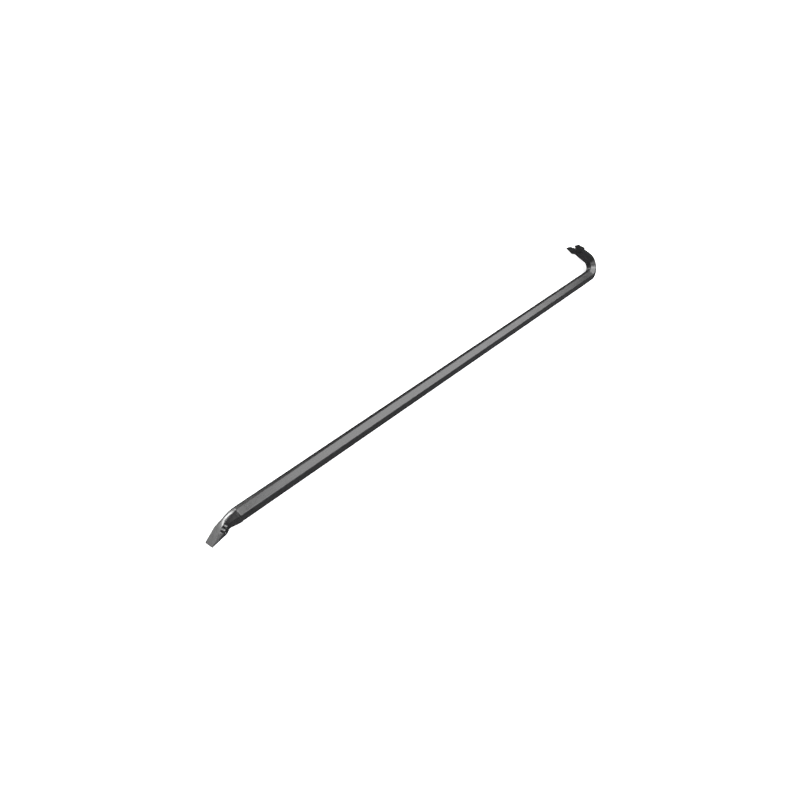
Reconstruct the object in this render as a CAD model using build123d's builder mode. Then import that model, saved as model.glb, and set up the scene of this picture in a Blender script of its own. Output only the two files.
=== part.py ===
"""Gooseneck wrecking bar, forged in one piece from hexagonal steel stock.

The bar lies on its side. X runs along the shaft towards the nail claw, Y points to the side
that the hook opens to, and Z is up. The origin is at the bottom centre of the bounding box.
Every zone of the forging is its own solid, and neighbours meet face to face.
"""

import math
import os
from typing import NamedTuple

from build123d import *

os.makedirs("parts", exist_ok=True)

# Driving dimensions, in millimetres and degrees
OVERALL_LENGTH = 887.0
STOCK_FLATS = 19.05  # 3/4 inch hexagonal stock
STOCK_EDGE_RADIUS = 1.6
FORGED_EDGE_RADIUS = 0.9
EDGE_THICKNESS = 1.0  # of the chisel edge and the claw tips
TIP_EDGE_RADIUS = 0.15

BEND_RADIUS = 19.5  # at the centre line
BEND_ANGLE = 133.0
BEND_STATIONS = 8
BEND_INSIDE = 9.3  # from the centre line to the inner flat, at the bend's end
BEND_OUTSIDE = 8.0  # from the centre line to the outer flat, at the bend's end
HOOK_REACH = 69.4  # from the shaft's axis to the claw tips

CLAW_WIDTH = 30.8  # at the shoulders
CLAW_TIP_WIDTH = 29.2
CLAW_LENGTH = 18.7  # from shoulders to tips
CLAW_SHOULDER = 3.0  # length of the flare in front of the plate
CLAW_CHAMFER = 1.2  # how much narrower the claw's flats are than its ridges, on each side
TIP_CHAMFER = 0.2
TIP_INSET = 1.5  # of the claw tips from the neck's middle line, towards the shaft
NOTCH_DEPTH = 13.0
NOTCH_MOUTH = 9.0
NOTCH_ROOT_RADIUS = 1.3

CHISEL_WIDTH = 27.3
CHISEL_DROP = 12.2  # from the shaft's axis to the edge's underside
HEEL_FROM_TIP = 22.2
HEEL_DROP = 8.9
CHEEK_FROM_TIP = 15.2  # where the blade's top reaches its full width
CHEEK_DROP = 2.0
NECK_FROM_TIP = 49.5
NECK_EDGE_RADIUS = 1.2
BLADE_CHAMFER = 1.0  # how much narrower the blade's flats are than its ridges, on each side
EDGE_CHAMFER = 0.1

GROOVE_COUNT = 2  # on each side of the chisel's flare
GROOVE_WIDTH = 1.8
GROOVE_PITCH = 5.1
GROOVE_TILT = 27.0
GROOVE_ROOT = 7.4  # from the middle plane to the bottom of the groove nearest the shaft
GROOVE_STEP = 2.4  # how much further out the next groove's bottom is
FIRST_GROOVE_FROM_TIP = 23.2
FIRST_GROOVE_HEIGHT = 0.5


class ClawStation(NamedTuple):
    """Sizes of a cross-section of the claw, measured from its middle line."""

    inner: float
    outer: float
    flat_half: float
    ridge_half: float


class ChiselStation(NamedTuple):
    """Where a cross-section of the chisel's neck lies, and its half widths.

    Points are a distance from the chisel's edge and a height over the shaft's axis.
    """

    top: tuple
    underside: tuple
    top_half: float
    underside_half: float
    ridge_half: float


CLAW_NECK_MIDDLE = ClawStation(inner=8.9, outer=7.1, flat_half=5.9, ridge_half=11.0)
CLAW_NECK_END = ClawStation(inner=7.4, outer=5.2, flat_half=6.6, ridge_half=11.6)
CLAW_ROOT_INNER = 5.0
CLAW_ROOT_OUTER = 2.6

# The neck is flat-sided behind the flare, and the flare slopes like the stock's facets
CHISEL_FLANK = ChiselStation((43.5, 9.0), (43.5, -9.3), 7.0, 7.0, 8.0)
CHISEL_WAIST = ChiselStation((29.5, 5.0), (31.5, -7.0), 7.4, 7.4, 7.7)
CHISEL_FLARE_START = ChiselStation((22.6, 1.7), (28.8, -6.6), 8.2, 8.2, 9.4)
CHISEL_FLARE_MIDDLE = ChiselStation((18.4, -0.4), (25.0, -7.6), 10.8, 11.4, 12.6)

# Derived sizes
INNER_LEAN = math.atan(CLAW_CHAMFER / CLAW_ROOT_INNER)
OUTER_LEAN = math.atan(CLAW_CHAMFER / CLAW_ROOT_OUTER)
RIDGE_TIP = math.cos((OUTER_LEAN - INNER_LEAN) / 2) / math.cos((OUTER_LEAN + INNER_LEAN) / 2)
RIDGE_ROUNDING = FORGED_EDGE_RADIUS * (RIDGE_TIP - 1)  # what rounding takes off the claw's ridges
CLAW_RIDGE_HALF = CLAW_WIDTH / 2 + RIDGE_ROUNDING
CLAW_ROOT = ClawStation(
    CLAW_ROOT_INNER, CLAW_ROOT_OUTER, CLAW_RIDGE_HALF - CLAW_CHAMFER, CLAW_RIDGE_HALF
)
STOCK_HALF = STOCK_FLATS / 2
STOCK_FACET_HALF = STOCK_HALF / math.sqrt(3)
STOCK_RIDGE = 2 * STOCK_FACET_HALF
AXIS_Y = (CHISEL_DROP - HOOK_REACH) / 2
AXIS_Z = CLAW_WIDTH / 2
TIP_X = -OVERALL_LENGTH / 2
NECK_X = TIP_X + NECK_FROM_TIP
BEND_X = OVERALL_LENGTH / 2 - BEND_RADIUS - (STOCK_HALF + BEND_OUTSIDE) / 2


def section(plane, inner, outer, inner_half, outer_half, side, edge_radius):
    """A six-sided cross-section: flats at heights inner and -outer, and a ridge on each side.

    The plane's x runs across the bar, and its y points to the hook's side of it.
    """
    with BuildSketch(plane) as profile:
        with BuildLine():
            Polyline(
                (side, 0),
                (inner_half, inner),
                (-inner_half, inner),
                (-side, 0),
                (-outer_half, -outer),
                (outer_half, -outer),
                close=True,
            )
        make_face()
        fillet(profile.vertices(), edge_radius)
    return profile.sketch


def stock_section(plane, inner=STOCK_HALF, outer=STOCK_HALF):
    """The hexagon of the raw stock, which a bend may squeeze between its two flats."""
    return section(
        plane, inner, outer, STOCK_FACET_HALF, STOCK_FACET_HALF, STOCK_RIDGE, STOCK_EDGE_RADIUS
    )


def shaft_plane(x):
    """The plane across the shaft's axis at x."""
    return Plane(origin=(x, AXIS_Y, AXIS_Z), x_dir=(0, 0, 1), z_dir=(-1, 0, 0))


def bend_plane(degrees):
    """The plane across the bend's centre line, after it has turned by some degrees."""
    turn = math.radians(degrees)
    centre = Vector(BEND_X, AXIS_Y + BEND_RADIUS, AXIS_Z)
    outward = Vector(math.sin(turn), -math.cos(turn), 0)
    along = Vector(math.cos(turn), math.sin(turn), 0)
    return Plane(origin=centre + outward * BEND_RADIUS, x_dir=(0, 0, 1), z_dir=-along)


BEND_END = bend_plane(BEND_ANGLE)


def claw_plane(distance):
    """The plane across the claw's middle line, at a distance from the bend's end."""
    return BEND_END.offset(-distance)


def claw_section(distance, station, edge_radius):
    """A cross-section of the claw, square to its middle line."""
    inner, outer, flat_half, ridge_half = station
    plane = claw_plane(distance)
    return section(plane, inner, outer, flat_half, flat_half, ridge_half, edge_radius)


def chisel_section(station, edge_radius):
    """A cross-section of the chisel end, through a point on its top and one on its underside."""
    top, underside, top_half, underside_half, ridge_half = station
    upper = Vector(TIP_X + top[0], AXIS_Y + top[1], AXIS_Z)
    lower = Vector(TIP_X + underside[0], AXIS_Y + underside[1], AXIS_Z)
    half = (upper - lower).length / 2
    up = (upper - lower).normalized()
    plane = Plane(origin=(upper + lower) * 0.5, x_dir=(0, 0, 1), z_dir=(-up.Y, up.X, 0))
    return section(plane, half, half, top_half, underside_half, ridge_half, edge_radius)


# The shaft: untouched stock between the chisel's neck and the bend
with BuildPart() as shaft:
    add(stock_section(shaft_plane(BEND_X)))
    extrude(amount=BEND_X - NECK_X, dir=(-1, 0, 0))

# The gooseneck: the stock bent round in the plane of the hook, which squeezes it a little
bend_sections = []
for station in range(BEND_STATIONS + 1):
    share = station / BEND_STATIONS
    bend_sections.append(
        stock_section(
            bend_plane(BEND_ANGLE * share),
            STOCK_HALF + (BEND_INSIDE - STOCK_HALF) * share,
            STOCK_HALF + (BEND_OUTSIDE - STOCK_HALF) * share,
        )
    )
with BuildPart() as gooseneck:
    loft(bend_sections)

# The claw's neck: stock drawn down from a hexagon to the flat claw
outer_corner = TIP_INSET - EDGE_THICKNESS / 2
rise_to_tip = HOOK_REACH - (BEND_END.origin.Y - AXIS_Y) - BEND_END.y_dir.Y * outer_corner
CLAW_TIP = -rise_to_tip / BEND_END.z_dir.Y
PLATE_START = CLAW_TIP - CLAW_LENGTH
NECK_END = PLATE_START - CLAW_SHOULDER
neck_middle = claw_section(NECK_END / 2, CLAW_NECK_MIDDLE, STOCK_EDGE_RADIUS)
neck_end = claw_section(NECK_END, CLAW_NECK_END, STOCK_EDGE_RADIUS)
with BuildPart() as claw_neck:
    loft([bend_sections[-1], neck_middle, neck_end], ruled=True)

# The nail claw: a flared wedge with a V-shaped slot between its two tines
claw_root = claw_section(PLATE_START, CLAW_ROOT, FORGED_EDGE_RADIUS)
tip_half = CLAW_TIP_WIDTH / 2
tip_plane = claw_plane(CLAW_TIP)
tip_plane.origin += tip_plane.y_dir * TIP_INSET
claw_tips = section(
    tip_plane,
    EDGE_THICKNESS / 2,
    EDGE_THICKNESS / 2,
    tip_half - TIP_CHAMFER,
    tip_half - TIP_CHAMFER,
    tip_half,
    TIP_EDGE_RADIUS,
)
notch_plane = Plane(
    origin=claw_plane(CLAW_TIP).origin, x_dir=(0, 0, 1), z_dir=-BEND_END.y_dir
)
notch_root = NOTCH_DEPTH - NOTCH_ROOT_RADIUS
with BuildPart() as nail_claw:
    loft([neck_end, claw_root, claw_tips], ruled=True)
    with BuildSketch(notch_plane):
        with BuildLine():
            Polyline(
                (NOTCH_MOUTH / 2, -1),
                (NOTCH_ROOT_RADIUS, notch_root),
                (-NOTCH_ROOT_RADIUS, notch_root),
                (-NOTCH_MOUTH / 2, -1),
                close=True,
            )
        make_face()
        with Locations((0, notch_root)):
            Circle(NOTCH_ROOT_RADIUS)
    extrude(amount=STOCK_FLATS, both=True, mode=Mode.SUBTRACT)

# The chisel's neck: pressed flat on both sides and bent down, then flared to the blade's width
blade_half = CHISEL_WIDTH / 2
blade_flat = blade_half - BLADE_CHAMFER
cheek = (CHEEK_FROM_TIP, -CHEEK_DROP)
heel = (HEEL_FROM_TIP, -HEEL_DROP)
blade_root = chisel_section(
    ChiselStation(cheek, heel, blade_flat, blade_flat, blade_half), FORGED_EDGE_RADIUS
)
neck_sections = [
    stock_section(shaft_plane(NECK_X)),
    chisel_section(CHISEL_FLANK, NECK_EDGE_RADIUS),
    chisel_section(CHISEL_WAIST, NECK_EDGE_RADIUS),
    chisel_section(CHISEL_FLARE_START, NECK_EDGE_RADIUS),
    chisel_section(CHISEL_FLARE_MIDDLE, FORGED_EDGE_RADIUS),
    blade_root,
]
tilt = math.radians(GROOVE_TILT)
towards_shaft = Vector(math.cos(tilt), math.sin(tilt), 0)
first_groove = Vector(TIP_X + FIRST_GROOVE_FROM_TIP, AXIS_Y + FIRST_GROOVE_HEIGHT, AXIS_Z)
with BuildPart() as chisel_neck:
    loft(neck_sections, ruled=True)
    for groove in range(GROOVE_COUNT):
        groove_bottom = GROOVE_ROOT + groove * GROOVE_STEP
        groove_plane = Plane(
            origin=first_groove - towards_shaft * (groove * GROOVE_PITCH),
            x_dir=(0, 0, 1),
            z_dir=towards_shaft,
        )
        with BuildSketch(groove_plane):
            with Locations((groove_bottom + blade_half, 0), (-groove_bottom - blade_half, 0)):
                Rectangle(CHISEL_WIDTH, 2 * STOCK_FLATS)
        extrude(amount=GROOVE_WIDTH / 2, both=True, mode=Mode.SUBTRACT)

# The chisel blade: a wedge from the heel to the edge
edge_flat = blade_half - EDGE_CHAMFER
edge_top = (0, EDGE_THICKNESS - CHISEL_DROP)
edge_underside = (0, -CHISEL_DROP)
blade_edge = chisel_section(
    ChiselStation(edge_top, edge_underside, edge_flat, edge_flat, blade_half), TIP_EDGE_RADIUS
)
with BuildPart() as chisel_blade:
    loft([blade_root, blade_edge], ruled=True)

pieces = {
    "shaft": shaft,
    "gooseneck": gooseneck,
    "claw_neck": claw_neck,
    "nail_claw": nail_claw,
    "chisel_neck": chisel_neck,
    "chisel_blade": chisel_blade,
}
for name, piece in pieces.items():
    piece.part.label = name
    export_step(piece.part, f"parts/{name}.step")
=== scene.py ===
"""The looks of a gooseneck wrecking bar, forged from hexagonal stock and enamelled satin black.

The bar's skin is made once, as rings of a six-sided section that follow the bar from the
chisel's edge to the claw's tips. It is then cut where the CAD nodes meet into six closed pieces,
whose normals run on across the joints. Lengths are in millimetres until a ring is placed.
"""

import math
from dataclasses import dataclass

import bmesh
import bpy
import numpy as np
from mathutils import Matrix, Vector, noise


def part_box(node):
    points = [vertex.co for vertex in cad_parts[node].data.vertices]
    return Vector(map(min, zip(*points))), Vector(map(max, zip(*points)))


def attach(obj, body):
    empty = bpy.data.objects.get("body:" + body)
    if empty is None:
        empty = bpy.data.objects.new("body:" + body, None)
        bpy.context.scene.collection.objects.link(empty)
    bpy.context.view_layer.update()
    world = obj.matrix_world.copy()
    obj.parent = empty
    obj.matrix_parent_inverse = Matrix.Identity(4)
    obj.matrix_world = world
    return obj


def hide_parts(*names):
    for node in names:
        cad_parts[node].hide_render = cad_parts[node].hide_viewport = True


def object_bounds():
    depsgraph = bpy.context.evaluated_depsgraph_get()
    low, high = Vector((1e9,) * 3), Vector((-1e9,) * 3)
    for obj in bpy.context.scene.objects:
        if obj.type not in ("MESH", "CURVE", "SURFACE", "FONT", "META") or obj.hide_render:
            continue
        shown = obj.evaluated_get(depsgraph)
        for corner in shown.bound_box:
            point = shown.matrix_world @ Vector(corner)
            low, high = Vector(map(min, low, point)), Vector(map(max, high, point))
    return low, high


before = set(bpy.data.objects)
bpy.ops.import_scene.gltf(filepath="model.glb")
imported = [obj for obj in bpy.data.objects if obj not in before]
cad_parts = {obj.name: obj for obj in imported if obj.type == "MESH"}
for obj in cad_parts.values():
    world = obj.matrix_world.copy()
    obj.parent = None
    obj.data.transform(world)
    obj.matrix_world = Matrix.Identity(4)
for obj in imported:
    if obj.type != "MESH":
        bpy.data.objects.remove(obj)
cad_low, cad_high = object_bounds()

MM = 0.001

# Sizes that the frame gives
shaft_low, shaft_high = (np.array(corner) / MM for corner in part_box("shaft"))
claw_high = np.array(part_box("nail_claw")[1]) / MM
TIP_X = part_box("chisel_blade")[0].x / MM
AXIS_Y = (shaft_low[1] + shaft_high[1]) / 2
AXIS_Z = (shaft_low[2] + shaft_high[2]) / 2
STOCK_HALF = (shaft_high[1] - shaft_low[1]) / 2
NECK_FROM_TIP = shaft_low[0] - TIP_X
BEND_X = shaft_high[0]
CLAW_HALF = claw_high[2] - AXIS_Z

# The stock, and how its edges are rounded
STOCK_FACET_HALF = STOCK_HALF / math.sqrt(3)
STOCK_RIDGE = 2 * STOCK_FACET_HALF
STOCK_EDGE_RADIUS = 1.6
FORGED_EDGE_RADIUS = 0.9
TIP_EDGE_RADIUS = 0.15
EDGE_THICKNESS = 1.0

# The most of a face's width, or of a plate's thickness, that a rounded edge may take up
ROUNDING_SHARE = 0.45
NOTCH_ROUNDING_SHARE = 0.42

# The bend and the claw
BEND_RADIUS = 19.5
BEND_ANGLE = math.radians(133)
BEND_INSIDE = 9.3
BEND_OUTSIDE = 8.0
CLAW_LENGTH = 18.7
CLAW_SHOULDER = 3.0
CLAW_TIP_HALF = 14.6
CLAW_CHAMFER = 1.2
TIP_CHAMFER = 0.2
TIP_INSET = 1.5
NOTCH_DEPTH = 13.0
NOTCH_MOUTH_HALF = 4.5
NOTCH_ROOT_RADIUS = 1.3
NOTCH_EDGE_RADIUS = 0.8

# The chisel, as heights over the shaft's axis and distances from the chisel's edge
EDGE_TOP = -11.2
EDGE_BOTTOM = -12.2
RAMP_ANGLE = math.radians(32)
CREST_RADIUS = 51.0
CHEEK_FROM_TIP = 15.2
HEEL_FROM_TIP = 22.2
HEEL_HEIGHT = -8.9
BLADE_HALF = 13.65
BLADE_CHAMFER = 1.0
EDGE_CHAMFER = 0.1

# The steps on the chisel's flare: where each starts, going from the neck to the blade, the half
# width at its ridge there, and how much that widens for each millimetre on towards the edge.
# Distances are square to the grooves, from the chisel's edge.
STEP_TILT = math.radians(27)
STEP_STARTS = (24.2, 21.9, 20.0, 16.8, 14.9)
STEP_RIDGES = (10.8, 7.6, 12.6, 10.0, BLADE_HALF)
STEP_SPLAYS = (0.0, 0.0, 0.07, 0.0, 0.0)
STEP_EDGE = 0.35
STEP_FADE = 0.5

# How finely the skin is divided across the bar: along a rounded edge, over a side face, over
# half a flat, and over a wall of the notch
ARC_STEPS = 5
FACE_SHARES = (0.05, 0.18, 0.34, 0.5, 0.66, 0.82, 0.95)
FLAT_SHARES = (0.02, 0.05, 0.1, 0.2, 0.36, 0.55, 0.75, 0.92)
WALL_STEPS = 3

# How many rings the skin has along each stretch of the bar, and how far before the root of the
# notch its last few rings lie, in millimetres
BLADE_RINGS = 24
NECK_RINGS = 150
SHAFT_RINGS = 180
BEND_RINGS = 90
CLAW_NECK_RINGS = 36
SHOULDER_RINGS = 18
BEFORE_ROOT_RINGS = 6
ROOT_RINGS = 9
PLATE_RINGS = 16
NEAR_ROOT = (1.0, 0.75, 0.5, 0.25, 0.1)

# Differences too small to matter, in millimetres and in radians
TOUCH = 1e-6
WELD = 0.0005
STRAIGHT = 1e-4

# How the skin sinks unevenly: slow waves all along, and finer ones on forged metal, which
# begins and ends over a short stretch of the stock
FORGED_FADE = 12.0
WAVE_SIZE = 34
WAVE_DEPTH = 0.05
HAMMERED_SIZE = 7
HAMMERED_DEPTH = 0.09
HAMMERED_SHIFT = Vector((5, 9, 2))


@dataclass
class Ring:
    """A six-sided section across the bar. up points to its inner flat, on the hook's side.

    inner and outer are the two flats' distances from the centre, the halves are their half widths,
    and side is the half width at the ridges between them. crown is the inner flat's rise to its
    middle. along_claw is the distance from the end of the bend, and is negative elsewhere.
    """

    zone: str
    centre: np.ndarray
    up: np.ndarray
    inner: float
    outer: float
    inner_half: float
    outer_half: float
    side: float
    radius: float
    crown: float = 0.0
    along_claw: float = -1.0


def smooth(at, places, values):
    """A curve through the values: level at its first place, and without overshoot."""
    places = np.asarray(places, float)
    values = np.asarray(values, float)
    step = np.diff(places)
    rise = np.diff(values) / step
    slope = np.zeros(len(places))
    product = rise[:-1] * rise[1:]
    bends_on = product > 0
    slope[1:-1][bends_on] = 2 * product[bends_on] / (rise[:-1] + rise[1:])[bends_on]
    slope[-1] = rise[-1]
    left = int(np.clip(np.searchsorted(places, at) - 1, 0, len(step) - 1))
    share = (at - places[left]) / step[left]
    rest = 1 - share
    return (
        values[left] * rest * rest * (1 + 2 * share)
        + values[left + 1] * share * share * (1 + 2 * rest)
        + step[left] * share * rest * (slope[left] * rest - slope[left + 1] * share)
    )


# --- The bar's rings ---------------------------------------------------------------------


def chisel_top(distance):
    """The stock's flat, then an arc, then a straight ramp down to the chisel's edge."""
    slope = math.tan(RAMP_ANGLE)
    crest = (STOCK_HALF - EDGE_TOP) / slope
    arc_start = crest + CREST_RADIUS * math.tan(RAMP_ANGLE / 2)
    arc_end = arc_start - CREST_RADIUS * math.sin(RAMP_ANGLE)
    if distance > arc_start:
        return STOCK_HALF
    if distance > arc_end:
        return STOCK_HALF - CREST_RADIUS + math.sqrt(CREST_RADIUS**2 - (arc_start - distance) ** 2)
    return EDGE_TOP + distance * slope


def chisel_ring(zone, top, bottom, top_half, bottom_half, side, radius, crown):
    """A ring through the middle of the chisel's top and a point on its underside."""
    upper = np.array((TIP_X + top[0], AXIS_Y + top[1]))
    lower = np.array((TIP_X + bottom[0], AXIS_Y + bottom[1]))
    height = np.linalg.norm(upper - lower)
    centre = (upper + lower) / 2
    up = (upper - lower) / height
    inner = height / 2 - crown
    outer = height / 2
    return Ring(zone, centre, up, inner, outer, top_half, bottom_half, side, radius, crown)


# The chisel's neck, from the stock to the blade: the distances from the chisel's edge of seven
# sections' tops and undersides, and the measures of each section
BLADE_FLAT_HALF = BLADE_HALF - BLADE_CHAMFER
NECK_TOP = (NECK_FROM_TIP, 47.4, 45.4, 29.5, 22.6, 18.4, CHEEK_FROM_TIP)
NECK_BOTTOM = (NECK_FROM_TIP, 47.8, 45.4, 31.5, 28.8, 25.0, HEEL_FROM_TIP)
UNDERSIDE = (-STOCK_HALF, -STOCK_HALF, -9.4, -7.0, -6.6, -7.6, HEEL_HEIGHT)
NECK_TOP_HALF = (STOCK_FACET_HALF, STOCK_FACET_HALF, 7.0, 7.4, 8.7, 11.4, BLADE_FLAT_HALF)
NECK_BOTTOM_HALF = (STOCK_FACET_HALF, STOCK_FACET_HALF, 7.0, 7.4, 8.2, 11.4, BLADE_FLAT_HALF)
NECK_SIDE = (STOCK_RIDGE, STOCK_RIDGE, 8.1, 7.7, 9.4, 12.6, BLADE_HALF)
NECK_RADIUS = (STOCK_EDGE_RADIUS, STOCK_EDGE_RADIUS, 0.7, 0.5, 0.2, 0.2, FORGED_EDGE_RADIUS)
NECK_CROWN = (0.0, 0.0, 0.8, 1.5, 0.6, 0.15, 0.1)


def chisel_blade_rings():
    """A plain wedge, from the chisel's edge back to its cheek and heel."""
    rings = []
    for share in np.linspace(0, 1, BLADE_RINGS, endpoint=False):
        top = CHEEK_FROM_TIP * share
        bottom = HEEL_FROM_TIP * share
        underside = EDGE_BOTTOM + (UNDERSIDE[-1] - EDGE_BOTTOM) * share
        half = BLADE_HALF - EDGE_CHAMFER - (BLADE_CHAMFER - EDGE_CHAMFER) * share
        radius = TIP_EDGE_RADIUS + (FORGED_EDGE_RADIUS - TIP_EDGE_RADIUS) * share
        rings.append(
            chisel_ring(
                "chisel_blade",
                (top, chisel_top(top)),
                (bottom, underside),
                half,
                half,
                BLADE_HALF,
                radius,
                NECK_CROWN[-1] * share,
            )
        )
    return rings


def chisel_neck_rings():
    """Rings from the blade up to the stock, through the neck's seven sections."""
    progress = [NECK_FROM_TIP - distance for distance in NECK_TOP]
    rings = []
    for at in np.linspace(progress[-1], 0, NECK_RINGS, endpoint=False):
        top = NECK_FROM_TIP - at
        bottom = smooth(at, progress, NECK_BOTTOM)
        rings.append(
            chisel_ring(
                "chisel_neck",
                (top, chisel_top(top)),
                (bottom, smooth(at, progress, UNDERSIDE)),
                smooth(at, progress, NECK_TOP_HALF),
                smooth(at, progress, NECK_BOTTOM_HALF),
                smooth(at, progress, NECK_SIDE),
                smooth(at, progress, NECK_RADIUS),
                smooth(at, progress, NECK_CROWN),
            )
        )
    return rings


def stock_ring(zone, centre, up, inner=STOCK_HALF, outer=STOCK_HALF):
    """The stock's hexagon, whose two flats may be drawn in or out."""
    return Ring(
        zone,
        np.array(centre),
        np.array(up),
        inner,
        outer,
        STOCK_FACET_HALF,
        STOCK_FACET_HALF,
        STOCK_RIDGE,
        STOCK_EDGE_RADIUS,
    )


def shaft_rings():
    places = np.linspace(TIP_X + NECK_FROM_TIP, BEND_X, SHAFT_RINGS, endpoint=False)
    return [stock_ring("shaft", (x, AXIS_Y), (0.0, 1.0)) for x in places]


def bend_point(turn):
    """The bend's centre line after some turn: the point, the way on, and the way to the inside."""
    way_on = np.array((math.cos(turn), math.sin(turn)))
    inside = np.array((-math.sin(turn), math.cos(turn)))
    centre = np.array((BEND_X, AXIS_Y + BEND_RADIUS))
    return centre - inside * BEND_RADIUS, way_on, inside


def gooseneck_rings():
    """The bend, over which the stock's inner flat comes to BEND_INSIDE and its outer to BEND_OUTSIDE."""
    rings = []
    for share in np.linspace(0, 1, BEND_RINGS, endpoint=False):
        point, _, inside = bend_point(BEND_ANGLE * share)
        inner = STOCK_HALF + (BEND_INSIDE - STOCK_HALF) * share
        outer = STOCK_HALF + (BEND_OUTSIDE - STOCK_HALF) * share
        rings.append(stock_ring("gooseneck", point, inside, inner, outer))
    return rings


BEND_END, CLAW_WAY, CLAW_INSIDE = bend_point(BEND_ANGLE)
OUTER_CORNER = TIP_INSET - EDGE_THICKNESS / 2
CLAW_TIP = (claw_high[1] - BEND_END[1] - CLAW_INSIDE[1] * OUTER_CORNER) / CLAW_WAY[1]
PLATE_START = CLAW_TIP - CLAW_LENGTH
NECK_END = PLATE_START - CLAW_SHOULDER
NOTCH_ROOT = CLAW_TIP - NOTCH_DEPTH

# The claw's neck and shoulder: distances from the end of the bend, and the section's measures there
CLAW_PLACES = (0.0, NECK_END / 2, NECK_END, PLATE_START)
CLAW_INNER = (BEND_INSIDE, 8.9, 7.4, 5.0)
CLAW_OUTER = (BEND_OUTSIDE, 7.1, 5.2, 2.6)
CLAW_FLAT_HALF = (STOCK_FACET_HALF, 5.9, 6.6, CLAW_HALF - CLAW_CHAMFER)
CLAW_SIDE = (STOCK_RIDGE, STOCK_RIDGE, 11.6, CLAW_HALF)
CLAW_RADIUS = (STOCK_EDGE_RADIUS, STOCK_EDGE_RADIUS, STOCK_EDGE_RADIUS, FORGED_EDGE_RADIUS)


def claw_ring(along):
    """The claw's section, at a distance along it from the end of the bend."""
    zone = "claw_neck" if along < NECK_END - TOUCH else "nail_claw"
    if along <= PLATE_START:
        inner = smooth(along, CLAW_PLACES, CLAW_INNER)
        outer = smooth(along, CLAW_PLACES, CLAW_OUTER)
        flat_half = smooth(along, CLAW_PLACES, CLAW_FLAT_HALF)
        side = smooth(along, CLAW_PLACES, CLAW_SIDE)
        radius = smooth(along, CLAW_PLACES, CLAW_RADIUS)
        inset = 0.0
    else:
        share = (along - PLATE_START) / CLAW_LENGTH
        inner = CLAW_INNER[-1] + (EDGE_THICKNESS / 2 - CLAW_INNER[-1]) * share
        outer = CLAW_OUTER[-1] + (EDGE_THICKNESS / 2 - CLAW_OUTER[-1]) * share
        side = CLAW_HALF + (CLAW_TIP_HALF - CLAW_HALF) * share
        flat_half = side - CLAW_CHAMFER + (CLAW_CHAMFER - TIP_CHAMFER) * share
        radius = FORGED_EDGE_RADIUS + (TIP_EDGE_RADIUS - FORGED_EDGE_RADIUS) * share
        inset = TIP_INSET * share
    centre = BEND_END + CLAW_WAY * along + CLAW_INSIDE * inset
    ring = Ring(zone, centre, CLAW_INSIDE, inner, outer, flat_half, flat_half, side, radius)
    ring.along_claw = along
    return ring


def claw_rings():
    """Rings along the claw, which crowd together round the root of the notch."""
    before_root = NOTCH_ROOT - np.array(NEAR_ROOT)
    turns = np.linspace(0, math.pi / 2, ROOT_RINGS)
    round_root = NOTCH_ROOT + NOTCH_ROOT_RADIUS * (1 - np.cos(turns))
    places = [
        *np.linspace(0, NECK_END, CLAW_NECK_RINGS, endpoint=False),
        *np.linspace(NECK_END, PLATE_START, SHOULDER_RINGS, endpoint=False),
        *np.linspace(PLATE_START, before_root[0], BEFORE_ROOT_RINGS, endpoint=False),
        *before_root,
        *round_root[:-1],
        *np.linspace(round_root[-1], CLAW_TIP, PLATE_RINGS),
    ]
    return [claw_ring(along) for along in places]


# --- From rings to a skin ----------------------------------------------------------------


def rounded_corner(before, corner, after, radius):
    """Points along the arc that rounds a corner."""
    back = before - corner
    ahead = after - corner
    back_length = np.linalg.norm(back)
    ahead_length = np.linalg.norm(ahead)
    back /= back_length
    ahead /= ahead_length
    half_angle = math.acos(np.clip(back @ ahead, -1, 1)) / 2
    room = ROUNDING_SHARE * min(back_length, ahead_length)
    reach = min(radius / math.tan(half_angle), room)
    whole = math.pi - 2 * half_angle
    shares = np.linspace(0, 1, ARC_STEPS + 1)
    if whole < STRAIGHT:
        return [corner + (back * (1 - 2 * s) * reach) for s in shares]
    radius = reach * math.tan(half_angle)
    middle = back + ahead
    middle /= np.linalg.norm(middle)
    centre = corner + middle * radius / math.sin(half_angle)
    start = corner + back * reach - centre
    end = corner + ahead * reach - centre
    return [
        centre + (start * math.sin(whole * (1 - s)) + end * math.sin(whole * s)) / math.sin(whole)
        for s in shares
    ]


def half_section(ring):
    """Points (across, up) of half a ring, from the inner flat's middle round to the outer's.

    The second result says how near each point is to a rounded edge, from 0 to 1.
    """
    outline = [
        np.array((0.0, ring.inner + 2 * ring.crown)),
        np.array((ring.inner_half, ring.inner)),
        np.array((ring.side, 0.0)),
        np.array((ring.outer_half, -ring.outer)),
        np.array((0.0, -ring.outer)),
    ]
    points = [np.array((0.0, ring.inner + ring.crown))]
    edge = [0.0]
    for k in (1, 2, 3):
        arc = rounded_corner(outline[k - 1], outline[k], outline[k + 1], ring.radius)
        start = points[-1]
        for share in FLAT_SHARES if k == 1 else FACE_SHARES:
            point = start + (arc[0] - start) * share
            if k == 1:
                point[1] = start[1] + (arc[0][1] - start[1]) * share**2
            points.append(point)
            edge.append(0.0)
        points += arc
        edge += [1.0] * len(arc)
    start = points[-1]
    for share in reversed(FLAT_SHARES):
        points.append(start + (outline[4] - start) * (1 - share))
        edge.append(0.0)
    points.append(outline[4])
    edge.append(0.0)
    return np.array(points), np.array(edge)


def notch_angle():
    """The angle between the claw's middle line and a wall of the notch."""
    root = NOTCH_DEPTH - NOTCH_ROOT_RADIUS
    reach = math.hypot(NOTCH_MOUTH_HALF, root)
    return math.acos(NOTCH_ROOT_RADIUS / reach) - math.atan2(root, NOTCH_MOUTH_HALF)


NOTCH_ANGLE = notch_angle()
NOTCH_CENTRE = NOTCH_ROOT + NOTCH_ROOT_RADIUS


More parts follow.
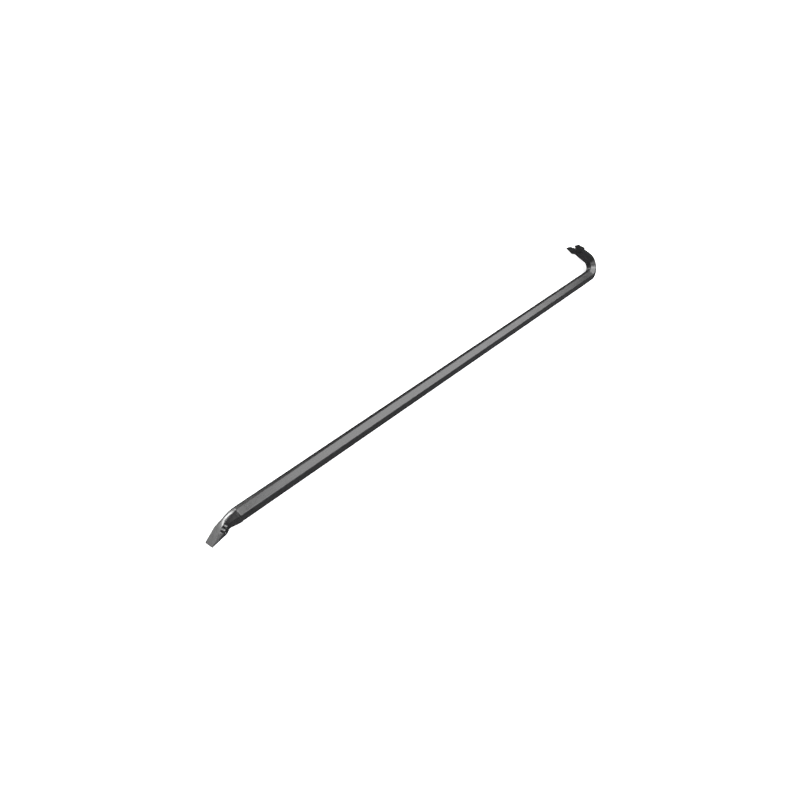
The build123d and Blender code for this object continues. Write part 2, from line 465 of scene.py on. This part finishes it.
def notch_half_width(along):
    if along <= NOTCH_ROOT:
        return 0.0
    past = along - NOTCH_CENTRE
    if past < -NOTCH_ROOT_RADIUS * math.sin(NOTCH_ANGLE):
        return math.sqrt(max(NOTCH_ROOT_RADIUS**2 - past**2, 0))
    return NOTCH_ROOT_RADIUS / math.cos(NOTCH_ANGLE) + past * math.tan(NOTCH_ANGLE)


def notch_distance(along, across):
    """How far a point of the claw lies from the notch's outline."""
    past = along - NOTCH_CENTRE
    on_wall = past * math.cos(NOTCH_ANGLE) + across * math.sin(NOTCH_ANGLE) > 0
    if on_wall:
        return across * math.cos(NOTCH_ANGLE) - past * math.sin(NOTCH_ANGLE) - NOTCH_ROOT_RADIUS
    return math.hypot(past, across) - NOTCH_ROOT_RADIUS


def open_notch(ring, points):
    """Moves the two flats' points aside for the notch, and rounds the edges it leaves."""
    gap = notch_half_width(ring.along_claw)
    moved = points.copy()
    for flat in (points[:, 1] >= ring.inner - TOUCH, points[:, 1] <= -ring.outer + TOUCH):
        reach = points[flat, 0].max()
        moved[flat, 0] = gap + points[flat, 0] * (reach - gap) / reach
    radius = min(NOTCH_EDGE_RADIUS, NOTCH_ROUNDING_SHARE * (ring.inner + ring.outer))
    for point in moved:
        gap_to_notch = max(notch_distance(ring.along_claw, point[0]), 0)
        if gap_to_notch < radius and abs(point[0]) < ring.inner_half:
            drop = radius - math.sqrt(radius**2 - (radius - gap_to_notch) ** 2)
            point[1] -= math.copysign(drop, point[1])
    return moved


def step_width(x, y, plain):
    """The half width of the chisel's ridge at a point of its side, with the flare's steps."""
    off = (x - TIP_X) * math.cos(STEP_TILT) + (y - AXIS_Y) * math.sin(STEP_TILT)
    width = plain
    for start, ridge, splay in zip(STEP_STARTS, STEP_RIDGES, STEP_SPLAYS):
        share = min(max((start - off) / STEP_EDGE + 0.5, 0), 1)
        aim = ridge + splay * max(start - off, 0)
        width += (aim - width) * share * share * (3 - 2 * share)
    return width


def step_sides(ring, points, placed):
    """Gives the flare's upper side faces their steps, which fade out under the ridge."""
    slope = ring.side - ring.inner_half
    for point, (across, height) in zip(placed, points):
        if across <= ring.inner_half or height < -STEP_FADE * ring.outer:
            continue
        past_top = (across - ring.inner_half) / slope
        fade = min(1 + height / (STEP_FADE * ring.outer), 1)
        point[2] += (step_width(point[0], point[1], ring.side) - ring.side) * past_top * fade


def place_half(ring):
    """The half ring's points in the row frame, in millimetres, and their nearness to edges."""
    points, edge = half_section(ring)
    if ring.along_claw > NOTCH_ROOT - NOTCH_EDGE_RADIUS * 1.5:
        points = open_notch(ring, points)
    placed = np.column_stack([ring.centre + points[:, 1:] * ring.up, points[:, 0]])
    if ring.zone == "chisel_neck":
        step_sides(ring, points, placed)
    return placed, edge


def forged_share(x):
    """0 along the rolled stock, and 1 on the two forged ends."""
    from_chisel = (x - shaft_low[0] + FORGED_FADE / 2) / FORGED_FADE
    from_bend = (shaft_high[0] + FORGED_FADE / 2 - x) / FORGED_FADE
    return 1 - min(max(min(from_chisel, from_bend), 0.0), 1.0)


def unevenness(place):
    """How far the skin sinks at a point, in millimetres: slow waves, finer on forged metal."""
    forged = forged_share(place.x)
    slow = noise.noise(place / WAVE_SIZE) * 0.5 + 0.5
    fine = noise.noise(place / HAMMERED_SIZE + HAMMERED_SHIFT) * 0.5 + 0.5
    return WAVE_DEPTH * slow + HAMMERED_DEPTH * forged * fine


def add_row(skin, ring, mirror):
    """Vertices of a ring's half on one side of the bar's middle plane, and of its notch wall."""
    edge_layer = skin.verts.layers.float["edge"]
    placed, edge = place_half(ring)
    row = []
    for (x, y, across), nearness in zip(placed, edge):
        vertex = skin.verts.new((x, y, AXIS_Z + mirror * across))
        vertex[edge_layer] = nearness
        row.append(vertex)
    wall = []
    if ring.along_claw >= NOTCH_ROOT - TOUCH:
        for share in np.linspace(0, 1, WALL_STEPS + 2)[1:-1]:
            wall.append(skin.verts.new(row[-1].co.lerp(row[0].co, share)))
    return row, wall


def add_strip(skin, old, new, mirror, zone):
    """Faces between two rows of vertices, in the zone of that number."""
    zone_layer = skin.faces.layers.int["zone"]
    for k in range(len(old) - 1):
        corners = (old[k], old[k + 1], new[k + 1], new[k])
        face = skin.faces.new(corners if mirror > 0 else corners[::-1])
        face[zone_layer] = zone
        face.smooth = True


def build_skin(rings):
    """The bar's whole skin as a bmesh, open at the chisel's edge and the claw's two tips."""
    skin = bmesh.new()
    skin.faces.layers.int.new("zone")
    skin.verts.layers.float.new("edge")
    zones = list(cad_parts)
    for mirror in (1, -1):
        rows = [add_row(skin, ring, mirror) for ring in rings]
        for ring, (old_row, old_wall), (row, wall) in zip(rings, rows, rows[1:]):
            zone = zones.index(ring.zone)
            add_strip(skin, old_row, row, mirror, zone)
            if old_wall and wall:
                old_wall = [old_row[-1], *old_wall, old_row[0]]
                wall = [row[-1], *wall, row[0]]
                add_strip(skin, old_wall, wall, mirror, zone)
    bmesh.ops.remove_doubles(skin, verts=skin.verts, dist=WELD)
    skin.normal_update()
    sunk = [vertex.co - vertex.normal * unevenness(vertex.co) for vertex in skin.verts]
    for vertex, place in zip(skin.verts, sunk):
        vertex.co = place * MM
    skin.normal_update()
    normal_layer = skin.verts.layers.float_vector.new("skin_normal")
    forged_layer = skin.verts.layers.float.new("forged")
    for vertex in skin.verts:
        vertex[normal_layer] = vertex.normal
        vertex[forged_layer] = forged_share(vertex.co.x / MM)
    return skin, zones


def cut_piece(skin, zones, node):
    """One zone of the skin as a closed mesh object, with the skin's normals along its sides."""
    part = skin.copy()
    zone_layer = part.faces.layers.int["zone"]
    others = [face for face in part.faces if face[zone_layer] != zones.index(node)]
    bmesh.ops.delete(part, geom=others, context="FACES")
    rims = [edge for edge in part.edges if edge.is_boundary]
    caps = set(bmesh.ops.holes_fill(part, edges=rims, sides=0)["faces"])
    bmesh.ops.recalc_face_normals(part, faces=part.faces)
    for face in part.faces:
        face.smooth = face not in caps
    mesh = bpy.data.meshes.new(node)
    part.to_mesh(mesh)
    part.free()
    outward = mesh.attributes["skin_normal"].data
    normals = []
    for polygon in mesh.polygons:
        for k in polygon.vertices:
            normals.append(tuple(outward[k].vector if polygon.use_smooth else polygon.normal))
    mesh.normals_split_custom_set(normals)
    mesh.attributes.remove(mesh.attributes["skin_normal"])
    mesh.attributes.remove(mesh.attributes["zone"])
    piece = bpy.data.objects.new(node + "_forging", mesh)
    bpy.context.scene.collection.objects.link(piece)
    return piece


# --- Material ----------------------------------------------------------------------------


class Nodes:
    """A short way to write a node tree."""

    def __init__(self, tree):
        self.tree = tree

    def add(self, kind, inputs=None, **settings):
        """A new node. An input that is a socket is linked, and any other is a plain value."""
        node = self.tree.nodes.new(kind)
        for name, value in settings.items():
            setattr(node, name, value)
        for name, value in (inputs or {}).items():
            if isinstance(value, bpy.types.NodeSocket):
                self.tree.links.new(value, node.inputs[name])
            else:
                node.inputs[name].default_value = value
        return node

    def noise(self, place, size, detail=2.0, roughness=0.5):
        """A noise texture whose features are about this many millimetres across."""
        inputs = {"Vector": place, "Scale": 1 / (size * MM), "Detail": detail}
        inputs["Roughness"] = roughness
        return self.add("ShaderNodeTexNoise", inputs).outputs["Fac"]

    def spread(self, value, low, high, to_low, to_high):
        """Maps low..high to to_low..to_high, and clamps."""
        inputs = {"Value": value, "From Min": low, "From Max": high}
        inputs.update({"To Min": to_low, "To Max": to_high})
        return self.add("ShaderNodeMapRange", inputs).outputs["Result"]

    def maths(self, operation, first, second):
        node = self.add("ShaderNodeMath", {0: first, 1: second}, operation=operation)
        return node.outputs[0]

    def mix(self, share, first, second):
        """A mix of two colours, which have the sockets numbered 6 and 7, and the result 2."""
        inputs = {0: share, 6: first, 7: second}
        return self.add("ShaderNodeMix", inputs, data_type="RGBA").outputs[2]


# The enamel's colours: thick and thin, flecked, and rubbed down on the ridges, which is partly a painted
# highlight
THICK_COAT = (0.011, 0.011, 0.0115, 1)
THIN_COAT = (0.018, 0.018, 0.0185, 1)
FLECK = (0.03, 0.03, 0.031, 1)
RUBBED_AND_SHEEN = (0.06, 0.06, 0.062, 1)

# Its patterns' sizes, and the heights of two of them in millimetres
CLOUD_SIZE = 14
FLECK_SIZE = 0.7
RUB_AND_SHEEN_SIZE = 5
PEEL_SIZE = 0.9
PEEL_HEIGHT = 0.02
SCALE_SIZE = 2.6
SCALE_HEIGHT = 0.07


def satin_enamel():
    """Black stoving enamel over forged steel: fine orange peel, ridges lightened by rubbing and by a
    painted highlight.
    """
    material = bpy.data.materials.new("satin_enamel")
    material.use_nodes = True
    links = material.node_tree.links
    nodes = Nodes(material.node_tree)
    shader = material.node_tree.nodes["Principled BSDF"]
    place = nodes.add("ShaderNodeTexCoord").outputs["Object"]
    edge = nodes.add("ShaderNodeAttribute", attribute_name="edge").outputs["Fac"]
    forged = nodes.add("ShaderNodeAttribute", attribute_name="forged").outputs["Fac"]

    cloud = nodes.noise(place, CLOUD_SIZE, 3.0)
    fleck = nodes.noise(place, FLECK_SIZE, 2.0, 0.6)
    # Patches along the rounded edges that are lightened, as worn enamel and as a painted highlight
    wear_and_sheen = nodes.spread(nodes.noise(place, RUB_AND_SHEEN_SIZE, 4.0), 0.42, 0.7, 0.15, 1)
    rub_and_sheen = nodes.maths("MULTIPLY", edge, wear_and_sheen)
    tone = nodes.mix(nodes.spread(cloud, 0.3, 0.7, 0, 1), THICK_COAT, THIN_COAT)
    tone = nodes.mix(nodes.spread(fleck, 0.45, 0.8, 0, 0.5), tone, FLECK)
    # The rounded edges get a lighter colour, partly worn enamel and partly a painted highlight along the
    # ridges
    tone = nodes.mix(nodes.maths("MULTIPLY", rub_and_sheen, 0.5), tone, RUBBED_AND_SHEEN)
    links.new(tone, shader.inputs["Base Color"])

    gloss = nodes.spread(cloud, 0.25, 0.75, 0.18, 0.26)
    gloss = nodes.maths("ADD", gloss, nodes.spread(fleck, 0.3, 0.7, -0.02, 0.03))
    gloss = nodes.maths("SUBTRACT", gloss, nodes.maths("MULTIPLY", rub_and_sheen, 0.06))
    links.new(gloss, shader.inputs["Roughness"])

    peel = nodes.maths("MULTIPLY", nodes.noise(place, PEEL_SIZE, 2.0), PEEL_HEIGHT)
    scale = nodes.maths("MULTIPLY", nodes.noise(place, SCALE_SIZE, 4.0, 0.55), SCALE_HEIGHT)
    height = nodes.maths("ADD", peel, nodes.maths("MULTIPLY", scale, forged))
    bump = nodes.add("ShaderNodeBump", {"Height": height, "Strength": 0.6, "Distance": MM})
    links.new(bump.outputs["Normal"], shader.inputs["Normal"])
    shader.inputs["Specular IOR Level"].default_value = 0.55
    return material


# --- The pieces --------------------------------------------------------------------------

rings = [
    *chisel_blade_rings(),
    *chisel_neck_rings(),
    *shaft_rings(),
    *gooseneck_rings(),
    *claw_rings(),
]
skin, zones = build_skin(rings)
enamel = satin_enamel()
for node in zones:
    piece = cut_piece(skin, zones, node)
    piece.data.materials.append(enamel)
    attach(piece, "root")
    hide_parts(node)
skin.free()


# --- The studio --------------------------------------------------------------------------

# The floor and the backdrop: their sizes in metres, and how white they are and how they glow
FLOOR_HALF = 8.0
FLOOR_DROP = 0.0002
FLOOR_WHITE = 0.8
FLOOR_GLOW = 0.75
BACKDROP_RADIUS = 7.9
BACKDROP_GLOW = 1.0

# The surroundings' radiance, and the glows in them: azimuth and elevation in degrees, the angles
# from there at which each is still full and quite gone, and its radiance
AMBIENT = 0.02
GLOWS = (
    (100, -46, 7, 11, 14.0),
    (103, -54, 12, 26, 2.0),
    (-79, 9, 30, 60, 0.2),
    (178, 42, 30, 60, 1.0),
    (99, 45, 8, 14, 17.0),
    (68, 68, 5, 12, 6.0),
    (98, 72, 5, 15, 7.2),
    (-110, 78, 4, 12, 2.2),
)

# The camera: its place in metres, the way it looks, the way up, and its lens in millimetres
CAMERA_PLACE = (-0.5297, AXIS_Y * MM + 0.245, AXIS_Z * MM + 0.66535)
CAMERA_AHEAD = (0.5096, -0.2917, -0.80946)
CAMERA_UP = (0.48166, 0.87627, -0.01254)
SENSOR_WIDTH = 36.0
FOCAL_LENGTH = 24.525
CLIP_START = 0.01


def matte(name, white, glow):
    """A dull grey, black or white surface that may give off some light of its own."""
    material = bpy.data.materials.new(name)
    material.use_nodes = True
    shader = material.node_tree.nodes["Principled BSDF"]
    shader.inputs["Base Color"].default_value = (white, white, white, 1)
    shader.inputs["Roughness"].default_value = 0.9
    shader.inputs["Specular IOR Level"].default_value = 0.1
    shader.inputs["Emission Color"].default_value = (1, 1, 1, 1)
    shader.inputs["Emission Strength"].default_value = glow
    return material


def pale_floor():
    """A plain white table top that glows a little, so that shadows on it stay faint."""
    mesh = bpy.data.meshes.new("floor")
    half = FLOOR_HALF
    corners = [(-half, -half, 0), (half, -half, 0), (half, half, 0), (-half, half, 0)]
    mesh.from_pydata(corners, [], [(0, 1, 2, 3)])
    mesh.materials.append(matte("pale_floor", FLOOR_WHITE, FLOOR_GLOW))
    floor = bpy.data.objects.new("floor", mesh)
    bpy.context.scene.collection.objects.link(floor)
    floor.location.z = cad_low.z - FLOOR_DROP
    floor.visible_glossy = False
    floor.visible_shadow = False
    return floor


def pale_backdrop():
    """A white shell round the studio, which only the camera sees."""
    form = bmesh.new()
    bmesh.ops.create_uvsphere(form, u_segments=48, v_segments=24, radius=BACKDROP_RADIUS)
    mesh = bpy.data.meshes.new("backdrop")
    form.to_mesh(mesh)
    form.free()
    material = matte("pale_backdrop", 0.0, BACKDROP_GLOW)
    material.cycles.emission_sampling = "NONE"
    mesh.materials.append(material)
    backdrop = bpy.data.objects.new("backdrop", mesh)
    bpy.context.scene.collection.objects.link(backdrop)
    backdrop.visible_diffuse = False
    backdrop.visible_glossy = False
    backdrop.visible_transmission = False
    backdrop.visible_shadow = False
    return backdrop


def way_to(azimuth, elevation):
    """The direction at an azimuth from +X towards +Y and an elevation, in degrees."""
    turn = math.radians(azimuth)
    rise = math.radians(elevation)
    level = math.cos(rise)
    return Vector((math.cos(turn) * level, math.sin(turn) * level, math.sin(rise)))


def softbox(name, azimuth, elevation, distance, width, height, radiance):
    """A light panel that faces the bar: its direction in degrees, distance and size in metres."""
    light = bpy.data.lights.new(name, "AREA")
    light.shape = "RECTANGLE"
    light.size = width
    light.size_y = height
    light.energy = radiance * math.pi * width * height
    lamp = bpy.data.objects.new(name, light)
    way = way_to(azimuth, elevation)
    lamp.location = distance * way
    lamp.rotation_euler = way.to_track_quat("Z", "Y").to_euler()
    lamp.visible_camera = False
    bpy.context.scene.collection.objects.link(lamp)


def studio_world():
    """Dim surroundings with soft glows in them, which light the bar and show in its enamel."""
    world = bpy.data.worlds.new("studio")
    world.use_nodes = True
    nodes = Nodes(world.node_tree)
    way = nodes.add("ShaderNodeTexCoord").outputs["Generated"]
    strength = AMBIENT
    for azimuth, elevation, inner, outer, radiance in GLOWS:
        ends = {0: way, 1: way_to(azimuth, elevation)}
        nearness = nodes.add("ShaderNodeVectorMath", ends, operation="DOT_PRODUCT")
        inputs = {
            "Value": nearness.outputs["Value"],
            "From Min": math.cos(math.radians(outer)),
            "From Max": math.cos(math.radians(inner)),
            "To Min": 0.0,
            "To Max": radiance,
        }
        glow = nodes.add("ShaderNodeMapRange", inputs, interpolation_type="SMOOTHSTEP")
        strength = nodes.maths("ADD", glow.outputs["Result"], strength)
    background = world.node_tree.nodes["Background"]
    background.inputs["Color"].default_value = (1, 1, 1, 1)
    world.node_tree.links.new(strength, background.inputs["Strength"])
    bpy.context.scene.world = world


def add_camera():
    """A wide view from near the chisel's end, looking down along the bar."""
    ahead = Vector(CAMERA_AHEAD).normalized()
    right = ahead.cross(Vector(CAMERA_UP)).normalized()
    up = right.cross(ahead)
    data = bpy.data.cameras.new("camera")
    data.sensor_width = SENSOR_WIDTH
    data.lens = FOCAL_LENGTH
    data.clip_start = CLIP_START
    camera = bpy.data.objects.new("camera", data)
    turned = Matrix((right, up, -ahead)).transposed().to_4x4()
    camera.matrix_world = Matrix.Translation(Vector(CAMERA_PLACE)) @ turned
    bpy.context.scene.collection.objects.link(camera)
    bpy.context.scene.camera = camera


pale_floor()
pale_backdrop()
softbox("key", azimuth=46.5, elevation=43, distance=12.0, width=7.4, height=7.4, radiance=5.6)
studio_world()
add_camera()
bpy.context.scene.view_settings.view_transform = "Standard"
